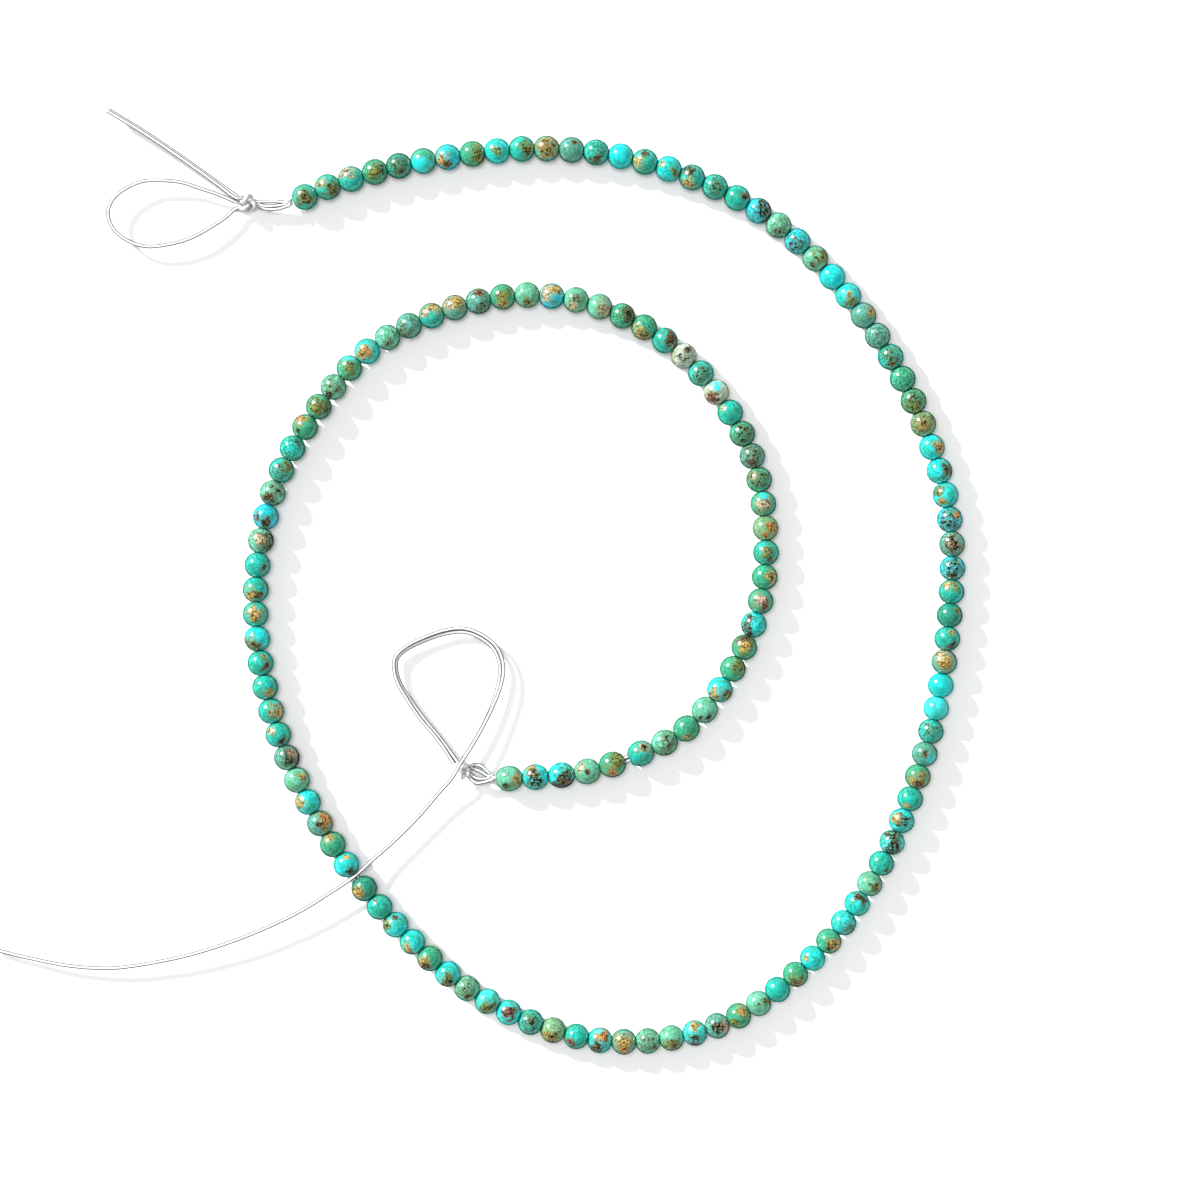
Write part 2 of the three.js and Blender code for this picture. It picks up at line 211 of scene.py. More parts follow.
# What the stone's colour is multiplied by in its green and deep clouds and its dark grains, and
# what its bloom adds
GREEN_CLOUD, DEEP_CLOUD = (1.0, 0.74, 0.62, 1.0), (0.50, 0.56, 0.58, 1.0)
DARK_GRAIN, PALE_BLOOM = (0.28, 0.32, 0.32, 1.0), (0.08, 0.16, 0.13, 1.0)
# The same for the dark and the pale grains inside a mark
MARK_DARK_GRAIN, MARK_PALE_GRAIN = (0.16, 0.13, 0.10, 1.0), (0.17, 0.13, 0.04, 1.0)
# How far noise pushes a mark's edge in and out, how full a patch is, and how strong the stain
# round a mark is
EDGE_BREAK, PATCH_FULL, STAIN_FULL = 2.2, 0.95, 0.45
# Roughness of the polish, and what a mark adds to it
POLISH, MARK_DULL = 0.20, 0.12

# The nylon's two tones, with the size of its haze, and the colour of the painted shade lines along
# its edges
NYLON_DULL, NYLON_PALE, HAZE_SCALE = (0.70, 0.71, 0.70, 1.0), (0.79, 0.79, 0.78, 1.0), 900.0
NYLON_EDGE_SHADE = (0.075, 0.080, 0.070, 1.0)
# How far the surface is turned from view where the painted edge shade starts and is full, and where
# it clears again at the rim
EDGE_SHADE_SPAN, RIM_LINE = (0.07, 0.24), (0.45, 0.75)
# How much of the painted edge shade clears at the rim and in a knot
RIM_CLEAR, KNOT_CLEAR = 0.5, 0.85

# The photo's frame, in metres on the table: its middle, and the width that it takes in
VIEW_MIDDLE = (-0.000346, -0.000692)
VIEW_WIDTH = 0.13846
# The camera's lens and sensor, in millimetres
VIEW_LENS, VIEW_SENSOR = 150.0, 36.0
# The nearest and the furthest that it sees
VIEW_CLIP = (0.01, 10.0)

# Where the lights come from, and how wide each looks from the table, in degrees
KEY_FROM, KEY_ANGLE = Vector((-0.68, 0.55, 0.48)), 3.0
SOFT_FROM, SOFT_ANGLE = Vector((-0.10, 0.08, 0.99)), 25.0

# The table: half its width, and how far it lies below the beads so that they don't touch it
TABLE_REACH, TABLE_DROP = 1.5, 0.00002
TABLE_CORNERS = [(-1, -1), (1, -1), (1, 1), (-1, 1)]
# Painted reflection: in a bead's polish the table is near black close to the bead, which paints a
# dark outline round it, and pale from further off, in half bead widths
PAINTED_OUTLINE_COLOUR = (0.004, 0.004, 0.004, 1.0)
PAINTED_OUTLINE_ENDS, TABLE_STARTS = 2.8, 5.0


def length_property(name, text, value):
    return FloatProperty(
        name=name, description=text, default=value, min=0.0, unit="LENGTH", precision=5
    )


def colour_property(name, text, value):
    return FloatVectorProperty(
        name=name, description=text, default=value, size=3, min=0.0, max=1.0, subtype="COLOR"
    )


def strength_property(name, text, value):
    return FloatProperty(name=name, description=text, default=value, min=0.0)


class StrandSizes(bpy.types.PropertyGroup):
    """Sizes of the beads and the thread"""

    bead_width: length_property("Bead width", "Across a bead, which is round", 0.003)
    bead_width_spread: FloatProperty(
        name="Bead spread", description="How much narrower the smallest bead is", default=0.008,
        min=0.0, max=0.1,
    )
    hole_width: length_property("Hole width", "Across the hole through a bead", 0.00096)
    thread_width: length_property("Thread width", "Across one strand of thread", 0.00045)
    strand_pitch: length_property(
        "Strand pitch", "Sideways between the two cut tails, one half over the other", 0.0002
    )
    seed: IntProperty(
        name="Seed", description="Sets the order of the beads' small differences", default=7
    )


class StoneColours(bpy.types.PropertyGroup):
    """Colours of the stones and of what marks them"""

    teal: colour_property("Teal", "Body colour of most stones", (0.007, 0.418, 0.335))
    cyan: colour_property("Cyan", "Body colour of the bright stones", (0.003, 0.602, 0.592))
    blue: colour_property("Blue", "Body colour of the bluest stones", (0.002, 0.530, 0.640))
    pale_cyan: colour_property(
        "Pale cyan", "Body colour of pale blue stones", (0.038, 0.620, 0.583)
    )
    green: colour_property("Green", "Body colour of the green stones", (0.032, 0.340, 0.186))
    mint: colour_property("Mint", "Body colour of pale green stones", (0.125, 0.463, 0.303))
    grey_green: colour_property("Grey green", "Body colour of dull stones", (0.088, 0.328, 0.264))
    deep_teal: colour_property("Deep teal", "Body colour of dark stones", (0.008, 0.240, 0.172))
    olive_green: colour_property(
        "Olive green", "Body colour of stones full of matrix", (0.180, 0.378, 0.180)
    )
    cream: colour_property(
        "Cream", "Body colour of stones that are mostly host rock", (0.560, 0.670, 0.560)
    )
    gold: colour_property("Gold", "Golden matrix", (0.414, 0.279, 0.063))
    olive: colour_property("Olive", "Olive matrix", (0.128, 0.162, 0.021))
    brown: colour_property("Brown", "Brown matrix", (0.060, 0.029, 0.014))
    rust: colour_property("Rust", "Rusty matrix", (0.128, 0.025, 0.019))
    black: colour_property("Black", "Black matrix and specks", (0.004, 0.004, 0.004))
    tan: colour_property("Tan", "Pale host rock", (0.378, 0.334, 0.202))
    pink: colour_property("Pink", "Pinkish host rock", (0.440, 0.299, 0.238))
    amber: colour_property("Amber", "Orange matrix", (0.450, 0.189, 0.023))
    stain: colour_property("Stain", "What tints the stone round its matrix", (0.170, 0.190, 0.060))


class StageSettings(bpy.types.PropertyGroup):
    """The table and the light on it"""

    floor_colour: colour_property("Floor", "Colour of the table", (0.95, 0.95, 0.95))
    # Painted reflection: the table is drawn dimmer in reflections than it is lit
    floor_painted_reflection: colour_property(
        "Floor in gloss", "Colour of the table in reflections", (0.30, 0.30, 0.30)
    )
    key_strength: strength_property("Key", "Strength of the low light from the upper left", 6.0)
    soft_strength: strength_property("Soft", "Strength of the light from nearly overhead", 1.55)
    fill_strength: strength_property("Fill", "Strength of the light from all round", 0.47)
    fill_colour: colour_property(
        "Fill colour", "Colour of the light from all round", (1.0, 0.97, 0.975)
    )
    gloss_strength: strength_property("Gloss", "How bright the room is in reflections", 0.06)


# Lines through points


def centripetal_line(points, pieces):
    """A smooth line through the points, in so many pieces between each of them and the next."""
    points = [Vector(p).to_3d() for p in points]
    before = points[0] * 2 - points[1]
    after = points[-1] * 2 - points[-2]
    held = [before, *points, after]
    line = []
    for i in range(len(points) - 1):
        p0, p1, p2, p3 = held[i : i + 4]
        d0, d1, d2 = (math.sqrt((b - a).length) for a, b in ((p0, p1), (p1, p2), (p2, p3)))
        start = ((p1 - p0) / d0 - (p2 - p0) / (d0 + d1) + (p2 - p1) / d1) * d1
        end = ((p2 - p1) / d1 - (p3 - p1) / (d1 + d2) + (p3 - p2) / d2) * d1
        for k in range(pieces):
            t = k / pieces
            square, cube = (p2 - p1) * 3 - start * 2 - end, (p1 - p2) * 2 + start + end
            line.append(p1 + start * t + square * t * t + cube * t * t * t)
    line.append(points[-1])
    return line


class Track:
    """A line that is read by the distance along it."""

    def __init__(self, line):
        self.line = line
        self.reached = [0.0]
        for a, b in zip(line, line[1:]):
            self.reached.append(self.reached[-1] + (b - a).length)
        self.length = self.reached[-1]

    def at(self, distance):
        """The point at a distance, and the way that the line runs there."""
        distance = min(max(distance, 0.0), self.length)
        low = min(bisect_right(self.reached, distance), len(self.line) - 1) - 1
        a, b = self.line[low], self.line[low + 1]
        share = (distance - self.reached[low]) / (self.reached[low + 1] - self.reached[low])
        return a.lerp(b, share), (b - a).normalized()


def shifted(route, sideways, upwards):
    """The route moved to the left of the way that it runs, and up."""
    along = Vector(route[-1]) - Vector(route[0])
    along.z = 0.0
    along.normalize()
    step = Vector((-along.y * sideways, along.x * sideways, upwards))
    return [Vector(p) + step for p in route]


# Objects


def link(obj):
    bpy.context.scene.collection.objects.link(obj)
    return obj


def thread_curve(name, lines, width, material):
    """Round thread along each line, as one curve object."""
    curve = bpy.data.curves.new(name, "CURVE")
    curve.dimensions = "3D"
    curve.bevel_depth = width / 2
    curve.bevel_resolution = 3
    curve.use_fill_caps = True
    for line in lines:
        spline = curve.splines.new("POLY")
        spline.points.add(len(line) - 1)
        for point, place in zip(spline.points, line):
            point.co = (*place, 1.0)
        spline.use_smooth = True
    curve.materials.append(material)
    return link(bpy.data.objects.new(name, curve))


def solid_copy(obj, name):
    """A plain mesh of obj with its modifiers, in a new object. obj itself is then removed."""
    evaluated = obj.evaluated_get(bpy.context.evaluated_depsgraph_get())
    mesh = bpy.data.meshes.new_from_object(evaluated)
    mesh.name = name
    data = obj.data
    is_curve = obj.type == "CURVE"
    bpy.data.objects.remove(obj)
    (bpy.data.curves if is_curve else bpy.data.meshes).remove(data)
    return link(bpy.data.objects.new(name, mesh))


def lathe_mesh(name, profile, sides):
    """A ring-shaped solid: a closed profile of (height, radius) pairs, turned about Z."""
    vertices, faces = [], []
    # The flats between the corners lie inside the circle, so the corners stand a little outside it
    widen = 2 / (1 + math.cos(math.pi / sides))
    for side in range(sides):
        angle = 2 * math.pi * side / sides
        x, y = widen * math.cos(angle), widen * math.sin(angle)
        vertices += [(r * x, r * y, z) for z, r in profile]
    count = len(profile)
    for side in range(sides):
        for k in range(count):
            near, far = side * count, ((side + 1) % sides) * count
            faces.append((near + k, near + (k + 1) % count, far + (k + 1) % count, far + k))
    mesh = bpy.data.meshes.new(name)
    mesh.from_pydata(vertices, [], faces)
    mesh.polygons.foreach_set("use_smooth", [True] * len(faces))
    return mesh


# Node trees


def add_node(tree, kind, settings=None, **inputs):
    """A new node with its settings, and its inputs by name (_ for a space) or by number (i0, i1).

    An input is given as a value, or as the output that feeds it.
    """
    made = tree.nodes.new(kind)
    for key, value in (settings or {}).items():
        setattr(made, key, value)
    for key, value in inputs.items():
        socket = made.inputs[int(key[1:]) if key[1:].isdigit() else key.replace("_", " ")]
        if isinstance(value, bpy.types.NodeSocket):
            tree.links.new(value, socket)
        else:
            socket.default_value = value
    return made


def add_inputs(tree, *inputs):
    """Gives a node group its inputs, each as a name and a kind of socket."""
    for name, kind in inputs:
        tree.interface.new_socket(name, in_out="INPUT", socket_type=f"NodeSocket{kind}")


def maths(tree, operation, a, b, clamp=False):
    settings = {"operation": operation, "use_clamp": clamp}
    return add_node(tree, "ShaderNodeMath", settings, i0=a, i1=b).outputs[0]


def times(tree, a, b):
    return maths(tree, "MULTIPLY", a, b)


def one_less(tree, value):
    """1 minus the value."""
    return maths(tree, "SUBTRACT", 1.0, value)


def vector_maths(tree, operation, a, b):
    made = add_node(tree, "ShaderNodeVectorMath", {"operation": operation}, i0=a, i1=b)
    return made.outputs["Value" if operation == "DISTANCE" else "Vector"]


def scaled(tree, vector, factor):
    made = add_node(tree, "ShaderNodeVectorMath", {"operation": "SCALE"}, i0=vector, Scale=factor)
    return made.outputs[0]


def ramp(tree, value, low, high):
    """0 below low and 1 above high. Where high is less than low, it runs the other way."""
    made = add_node(tree, "ShaderNodeMapRange", {"interpolation_type": "SMOOTHSTEP"}, Value=value)
    made.inputs["From Min"].default_value = min(low, high)
    made.inputs["From Max"].default_value = max(low, high)
    made.inputs["To Min"].default_value = 0.0 if low < high else 1.0
    made.inputs["To Max"].default_value = 1.0 if low < high else 0.0
    return made.outputs["Result"]


def mixed(tree, factor, a, b, blend="MIX"):
    settings = {"data_type": "RGBA", "blend_type": blend}
    return add_node(tree, "ShaderNodeMix", settings, i0=factor, i6=a, i7=b).outputs[2]


def attribute(tree, name):
    return add_node(tree, "ShaderNodeAttribute", {"attribute_name": name})


def stone_mark_group():
    """Lays a mark over a stone's colour: a patch, veins or specks round a place on the stone."""
    tree = bpy.data.node_groups.new("Stone mark", "ShaderNodeTree")
    add_inputs(
        tree, ("Colour", "Color"), ("Mark Colour", "Color"), ("Stain", "Color"),
        ("Place", "Vector"), ("Mark Place", "Vector"), ("Size", "Float"), ("Kind", "Vector"),
        ("Cloud", "Float"), ("Grain", "Float"), ("Dust", "Float"), ("Veins", "Float"),
        ("Specks", "Float"), ("Grained", "Float"),
    )
    face = tree.interface
    face.new_socket("Colour", in_out="OUTPUT", socket_type="NodeSocketColor")
    face.new_socket("Mask", in_out="OUTPUT", socket_type="NodeSocketFloat")
    given = tree.nodes.new("NodeGroupInput").outputs
    away = vector_maths(tree, "DISTANCE", given["Place"], given["Mark Place"])
    near = one_less(tree, maths(tree, "DIVIDE", away, maths(tree, "MAXIMUM", given["Size"], 0.001)))

    def pushed(edge, noise):
        push = times(tree, maths(tree, "SUBTRACT", noise, 0.5), EDGE_BREAK)
        return maths(tree, "ADD", edge, push)

    wide = pushed(near, given["Cloud"])
    broken = pushed(wide, given["Grain"])
    is_marked = ramp(tree, given["Size"], 0.0, 0.05)
    halo = times(tree, ramp(tree, wide, -0.40, 0.45), times(tree, is_marked, STAIN_FULL))
    patch = times(tree, ramp(tree, broken, 0.15, 0.50), PATCH_FULL)
    veins = times(tree, given["Veins"], ramp(tree, wide, 0.0, 0.35))
    specks = times(tree, given["Specks"], ramp(tree, wide, -0.1, 0.5))
    shares = add_node(tree, "ShaderNodeSeparateXYZ", None, Vector=given["Kind"]).outputs
    mask = times(tree, patch, shares[0])
    mask = maths(tree, "ADD", mask, times(tree, veins, shares[1]))
    mask = maths(tree, "ADD", mask, times(tree, specks, shares[2]), clamp=True)
    mask = times(tree, mask, is_marked)
    tint = mixed(tree, 0.45, given["Stain"], given["Mark Colour"])
    darker = mixed(tree, 1.0, given["Mark Colour"], MARK_DARK_GRAIN, "MULTIPLY")
    paler = mixed(tree, 1.0, given["Mark Colour"], MARK_PALE_GRAIN, "ADD")
    grains = maths(tree, "MAXIMUM", ramp(tree, given["Dust"], 0.52, 0.57), given["Specks"])
    grained = mixed(tree, times(tree, grains, given["Grained"]), given["Mark Colour"], darker)
    pale_grains = times(tree, ramp(tree, given["Dust"], 0.46, 0.40), given["Grained"])
    grained = mixed(tree, pale_grains, grained, paler)
    result = tree.nodes.new("NodeGroupOutput").inputs
    tinted = mixed(tree, halo, given["Colour"], tint)
    tree.links.new(mixed(tree, mask, tinted, grained), result["Colour"])
    tree.links.new(mask, result["Mask"])
    return tree


def stone_material(sizes, colours):
    """Polished turquoise. Each bead's colours and marks come from its own attributes."""
    material = bpy.data.materials.new("polished_turquoise")
    material.use_nodes = True
    tree = material.node_tree
    shader = tree.nodes["Principled BSDF"]
    coordinates = tree.nodes.new("ShaderNodeTexCoord").outputs["Object"]
    centre = attribute(tree, "bead_centre").outputs["Vector"]
    away = vector_maths(tree, "SUBTRACT", coordinates, centre)
    place = scaled(tree, away, 2.0 / sizes.bead_width)
    own = vector_maths(tree, "ADD", place, attribute(tree, "bead_shift").outputs["Vector"])

    def noise(settings):
        scale, detail, roughness, distortion = settings
        made = add_node(
            tree, "ShaderNodeTexNoise", None, Vector=own, Scale=scale, Detail=detail,
            Roughness=roughness, Distortion=distortion,
        )
        return made.outputs

    cloud, grain, dust = (noise(n)["Fac"] for n in (CLOUD_NOISE, GRAIN_NOISE, DUST_NOISE))
    bent = vector_maths(tree, "ADD", own, scaled(tree, noise(BEND_NOISE)["Color"], 0.5))
    edges = add_node(
        tree, "ShaderNodeTexVoronoi", {"feature": "DISTANCE_TO_EDGE"}, Vector=bent, Scale=VEIN_SCALE
    )
    veins = ramp(tree, edges.outputs["Distance"], 0.20, 0.12)
    cells = add_node(tree, "ShaderNodeTexVoronoi", None, Vector=bent, Scale=SPECK_SCALE)
    ragged = times(tree, maths(tree, "SUBTRACT", grain, 0.5), 1.2)
    specks = ramp(tree, maths(tree, "SUBTRACT", cells.outputs["Distance"], ragged), 0.44, 0.36)

    # The stone itself: deeper and greener clouds, then coarse and fine dark grains, then a pale
    # bloom
    tone = attribute(tree, "stone_colour").outputs["Color"]
    greener = mixed(tree, 1.0, tone, GREEN_CLOUD, "MULTIPLY")
    greener = mixed(tree, 0.30, greener, (*colours.green, 1.0))
    mottle = attribute(tree, "mottle").outputs["Fac"]
    deeper = mixed(tree, 1.0, tone, DEEP_CLOUD, "MULTIPLY")
    tone = mixed(tree, times(tree, ramp(tree, cloud, 0.40, 0.62), 0.6), tone, deeper)
    turned = times(tree, ramp(tree, cloud, 0.46, 0.56), ramp(tree, mottle, 0.1, 0.5))
    colour = mixed(tree, turned, tone, greener)
    darker = mixed(tree, 1.0, colour, DARK_GRAIN, "MULTIPLY")
    coarse = times(tree, ramp(tree, grain, 0.50, 0.60), times(tree, mottle, 0.60))
    fine = times(tree, ramp(tree, dust, 0.54, 0.60), times(tree, mottle, 0.90))
    colour = mixed(tree, fine, mixed(tree, coarse, colour, darker), darker)
    paler = mixed(tree, 1.0, colour, PALE_BLOOM, "ADD")
    colour = mixed(tree, times(tree, ramp(tree, dust, 0.47, 0.40), mottle), colour, paler)
    # Then its matrix and host rock, one mark over the other
    masks = []
    group = stone_mark_group()
    for mark in ("first", "second"):
        laid = add_node(
            tree, "ShaderNodeGroup", {"node_tree": group}, Colour=colour, Place=place,
            Stain=(*colours.stain, 1.0), Cloud=cloud, Grain=grain, Dust=dust, Veins=veins,
            Specks=specks,
        )
        for column, output, name in (
            ("colour", "Color", "Mark Colour"), ("colour", "Alpha", "Grained"),
            ("place", "Vector", "Mark Place"), ("size", "Fac", "Size"), ("kind", "Vector", "Kind"),
        ):
            carried = attribute(tree, f"{mark}_mark_{column}").outputs[output]
            tree.links.new(carried, laid.inputs[name])
        colour = laid.outputs["Colour"]
        masks.append(laid.outputs["Mask"])
    marked = maths(tree, "MAXIMUM", *masks)
    tree.links.new(colour, shader.inputs["Base Color"])
    roughness = maths(tree, "ADD", times(tree, marked, MARK_DULL), POLISH)
    tree.links.new(roughness, shader.inputs["Roughness"])
    shader.inputs["IOR"].default_value = 1.60
    shader.inputs["Coat Weight"].default_value = 1.0
    shader.inputs["Coat IOR"].default_value = 1.55
    shader.inputs["Coat Roughness"].default_value = 0.17
    pits = add_node(tree, "ShaderNodeBump", None, Strength=0.25, Distance=0.00003,
                    Height=times(tree, marked, grain))
    tree.links.new(pits.outputs["Normal"], shader.inputs["Normal"])
    return material


def nylon_material():
    """Clear nylon thread: bright along its middle, with painted grey shade along both edges that
    grows as the surface turns from view.
    """
    material = bpy.data.materials.new("clear_nylon")
    material.use_nodes = True
    tree = material.node_tree
    shader = tree.nodes["Principled BSDF"]
    coordinates = tree.nodes.new("ShaderNodeTexCoord").outputs["Object"]
    cloudy = add_node(
        tree, "ShaderNodeTexNoise", None, Vector=coordinates, Scale=HAZE_SCALE, Detail=2.0
    )
    haze = cloudy.outputs["Fac"]
    middle = mixed(tree, haze, NYLON_DULL, NYLON_PALE)
    # Painted shade: grey edge lines are put into the colour by how far the surface turns from view,
    # on its near side, in place of the darkening that refraction gives clear nylon
    facing = add_node(tree, "ShaderNodeLayerWeight", None, Blend=0.5).outputs["Facing"]
    is_near_side = one_less(tree, tree.nodes.new("ShaderNodeNewGeometry").outputs["Backfacing"])
    rim = times(tree, ramp(tree, facing, *RIM_LINE), RIM_CLEAR)
    edge = times(tree, ramp(tree, facing, *EDGE_SHADE_SPAN), one_less(tree, rim))
    edge = times(tree, edge, is_near_side)
    # Where the strands are drawn up in a knot, they cloud each other and the painted edge shade
    # fades
    knotted = attribute(tree, "is_knotted").outputs["Fac"]
    clear = one_less(tree, times(tree, knotted, KNOT_CLEAR))
    edge = times(tree, edge, clear)
    tree.links.new(mixed(tree, edge, middle, NYLON_EDGE_SHADE), shader.inputs["Base Color"])
    roughness = maths(tree, "ADD", times(tree, haze, 0.1), 0.08)
    tree.links.new(roughness, shader.inputs["Roughness"])
    shader.inputs["IOR"].default_value = 1.53
    shader.inputs["Transmission Weight"].default_value = 0.12
    shader.inputs["Specular IOR Level"].default_value = 0.12
    # Light spreads inside the thread, in metres
    shader.inputs["Subsurface Weight"].default_value = 0.6
    shader.inputs["Subsurface Radius"].default_value = (1.0, 1.0, 1.0)
    shader.inputs["Subsurface Scale"].default_value = 0.0005
    return material


def nylon():
    """The one nylon material, made when it is first asked for."""
    return bpy.data.materials.get("clear_nylon") or nylon_material()


def beads_tree():
    """Sets a bead on every point, turned along the string, with its own length and width."""
    tree = bpy.data.node_groups.new("Beads on a string", "GeometryNodeTree")
    tree.is_modifier = True
    add_inputs(
        tree, ("Geometry", "Geometry"), ("Bead", "Object"), ("Width", "Float"),
        ("Width Spread", "Float"), ("Seed", "Int"), ("Material", "Material"),
    )
    tree.interface.new_socket("Geometry", in_out="OUTPUT", socket_type="NodeSocketGeometry")
    given = tree.nodes.new("NodeGroupInput").outputs

    def named(name, kind):
        made = add_node(tree, "GeometryNodeInputNamedAttribute", {"data_type": kind}, Name=name)
        return made.outputs["Attribute"]

    bead = add_node(tree, "GeometryNodeObjectInfo", None, Object=given["Bead"]).outputs["Geometry"]
    way = named("bead_way", "FLOAT_VECTOR")
    turned = add_node(tree, "FunctionNodeAlignRotationToVector", {"axis": "Z"}, Vector=way)
    narrower = one_less(tree, given["Width Spread"])
    random_width = add_node(
        tree, "FunctionNodeRandomValue", {"data_type": "FLOAT"}, i2=narrower, i3=1.0,
        Seed=given["Seed"],
    )
    width = times(tree, random_width.outputs[1], times(tree, given["Width"], 0.5))
    half_length = times(tree, named("bead_length", "FLOAT"), 0.5)
    size = add_node(tree, "ShaderNodeCombineXYZ", None, X=width, Y=width, Z=half_length).outputs[0]
    laid = add_node(
        tree, "GeometryNodeInstanceOnPoints", None, Points=given["Geometry"], Instance=bead,
        Rotation=turned.outputs[0], Scale=size,
    ).outputs[0]
    solid = add_node(tree, "GeometryNodeRealizeInstances", None, Geometry=laid).outputs[0]
    dressed = add_node(
        tree, "GeometryNodeSetMaterial", None, Geometry=solid, Material=given["Material"]
    ).outputs[0]
    tree.links.new(dressed, tree.nodes.new("NodeGroupOutput").inputs["Geometry"])
    return tree


def set_inputs(modifier, values):
    """Sets a modifier's inputs by the names that its tree gives them."""
    for item in modifier.node_group.interface.items_tree:
        if item.item_type == "SOCKET" and item.in_out == "INPUT" and item.name in values:
            modifier[item.identifier] = values[item.name]


# Beads


def lay_beads(start, end, length, width):
    """Beads from one distance along the route to another, as (start, length), evenly spread."""
    beads = []
    along, is_opened = start, start > OPEN_SHARE * length
    while True:
        share = along / length
        run = next((size for until, size in BEAD_RUNS if share < until), BEAD_RUNS[-1][1])
        bead_length = run * width
        opens = OPEN_WIDTH if not is_opened and share > OPEN_SHARE else 0.0
        if along + opens + bead_length > end:
            break
        beads.append((along + opens, bead_length))
        along += opens + bead_length
        is_opened = is_opened or opens > 0
    play = (end - along) / (len(beads) - 1)
    return [(first + k * play, size) for k, (first, size) in enumerate(beads)]


class Mark(NamedTuple):
    """A mark on a stone, a ball of radius 1: its colour's name, its place, its reach, its kind."""

    colour: str
    place: Vector
    reach: float
    kind: tuple


NO_MARK = Mark("black", Vector(), 0.0, PATCH)


def mark_of(signs):
    """The mark that three signs of the chart stand for."""
    kind, hour, size = signs
    angle = math.radians(90 - 30 * int(hour, 16))
    out = 0.0 if hour == "0" else MARK_PLACE
    place = Vector((out * math.cos(angle), out * math.sin(angle), 0.0))
    place.z = math.sqrt(1 - place.length_squared)
    return Mark(MARK_COLOURS[kind], place, MARK_REACH * int(size), MARK_KINDS.get(kind, PATCH))


def mottle_of(stone):
    """How mottled a stone is all over: a clean one hardly, one with specks or veins the most."""
    kinds = stone[1::3]
    if not kinds:
        return CLEAN_MOTTLE
    return BROKEN_MOTTLE if set(kinds) & set(MARK_KINDS) else PATCHED_MOTTLE


def bead_points(name, track, beads, stones, colours, seed):
    """A mesh with one point for each bead, which carries how the bead lies and looks."""
    mesh = bpy.data.meshes.new(name)
    places = [track.at(first + length / 2) for first, length in beads]
    mesh.from_pydata([place for place, _ in places], [], [])
    order = random.Random(seed)
    shifts = [Vector([order.uniform(*SHIFT_RANGE) for _ in range(3)]) for _ in beads]
    bodies = [(*getattr(colours, BODY_COLOURS[stone[0]]), 1.0) for stone in stones]
    columns = {
        ("bead_centre", "FLOAT_VECTOR"): [place for place, _ in places],
        ("bead_way", "FLOAT_VECTOR"): [way for _, way in places],
        ("bead_length", "FLOAT"): [length for _, length in beads],
        ("bead_shift", "FLOAT_VECTOR"): shifts,
        ("mottle", "FLOAT"): [mottle_of(stone) for stone in stones],
        ("stone_colour", "FLOAT_COLOR"): bodies,
    }
    for mark, first in (("first", 1), ("second", 4)):
        marks = [mark_of(s[first : first + 3]) if len(s) > first else NO_MARK for s in stones]
        columns[f"{mark}_mark_colour", "FLOAT_COLOR"] = [
            (*getattr(colours, m.colour), CYAN_GRAINED if m.colour == "cyan" else 1.0)
            for m in marks
        ]
        columns[f"{mark}_mark_place", "FLOAT_VECTOR"] = [m.place for m in marks]
        columns[f"{mark}_mark_size", "FLOAT"] = [m.reach for m in marks]
        columns[f"{mark}_mark_kind", "FLOAT_VECTOR"] = [m.kind for m in marks]
    for (column, kind), values in columns.items():
        key = {"FLOAT": "value", "FLOAT_VECTOR": "vector", "FLOAT_COLOR": "color"}[kind]
        flat = values if kind == "FLOAT" else [x for value in values for x in value]
        mesh.attributes.new(column, kind, "POINT").data.foreach_set(key, flat)
    return link(bpy.data.objects.new(name, mesh))


def bead_form(hole_share):
    """A drilled ball with a half length and half width of 1."""
    first = math.asin(hole_share * LIP_WIDTH)
    profile = []
    for k in range(BEAD_ROWS + 1):
        angle = first + (math.pi - 2 * first) * k / BEAD_ROWS
        profile.append((-math.cos(angle) / math.cos(first), math.sin(angle)))
    profile += [(LIP_END, hole_share), (-LIP_END, hole_share)]
    return link(bpy.data.objects.new("bead_form", lathe_mesh("bead_form", profile, BEAD_SIDES)))


def string_track():
    """The line of the holes, half a bead above the table."""
    sizes = bpy.context.scene.strand_sizes
    height = sizes.bead_width / 2
    return Track(centripetal_line([(x, y, height) for x, y in STRING_ROUTE], STRING_PIECES))


class STRAND_OT_string_beads(bpy.types.Operator):
    """Strings the turquoise beads in their two runs"""

    bl_idname = "strand.string_beads"
    bl_label = "String the beads"

    def execute(self, context):
        sizes, colours = context.scene.strand_sizes, context.scene.stone_colours
        track = string_track()
        crossing = CROSSING_SHARE * track.length
        half_gap = CROSSING_WIDTH / 2
        outer = lay_beads(0.0, crossing - half_gap, track.length, sizes.bead_width)
        inner = lay_beads(crossing + half_gap, track.length, track.length, sizes.bead_width)
        strung = len(outer) + len(inner)
        if strung != len(STONES):
            raise ValueError(f"{strung} beads are strung, and {len(STONES)} stones are listed")
        form = bead_form(sizes.hole_width / sizes.bead_width)
        tree, stone = beads_tree(), stone_material(sizes, colours)
        for name, beads, stones in (
            ("beads_outer", outer, STONES[: len(outer)]),
            ("beads_inner", inner, STONES[len(outer) :]),
        ):
            seed = sizes.seed + len(beads)
            points = bead_points(f"{name}_points", track, beads, stones, colours, seed)
            modifier = points.modifiers.new("beads", "NODES")
            modifier.node_group = tree
            set_inputs(modifier, {
                "Bead": form, "Width": sizes.bead_width, "Width Spread": sizes.bead_width_spread,
                "Seed": sizes.seed, "Material": stone,
            })
            piece = solid_copy(points, name)
            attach(piece, "root")
            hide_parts(name.replace("beads", "bead_string"))
        bpy.data.objects.remove(form)
        return {"FINISHED"}


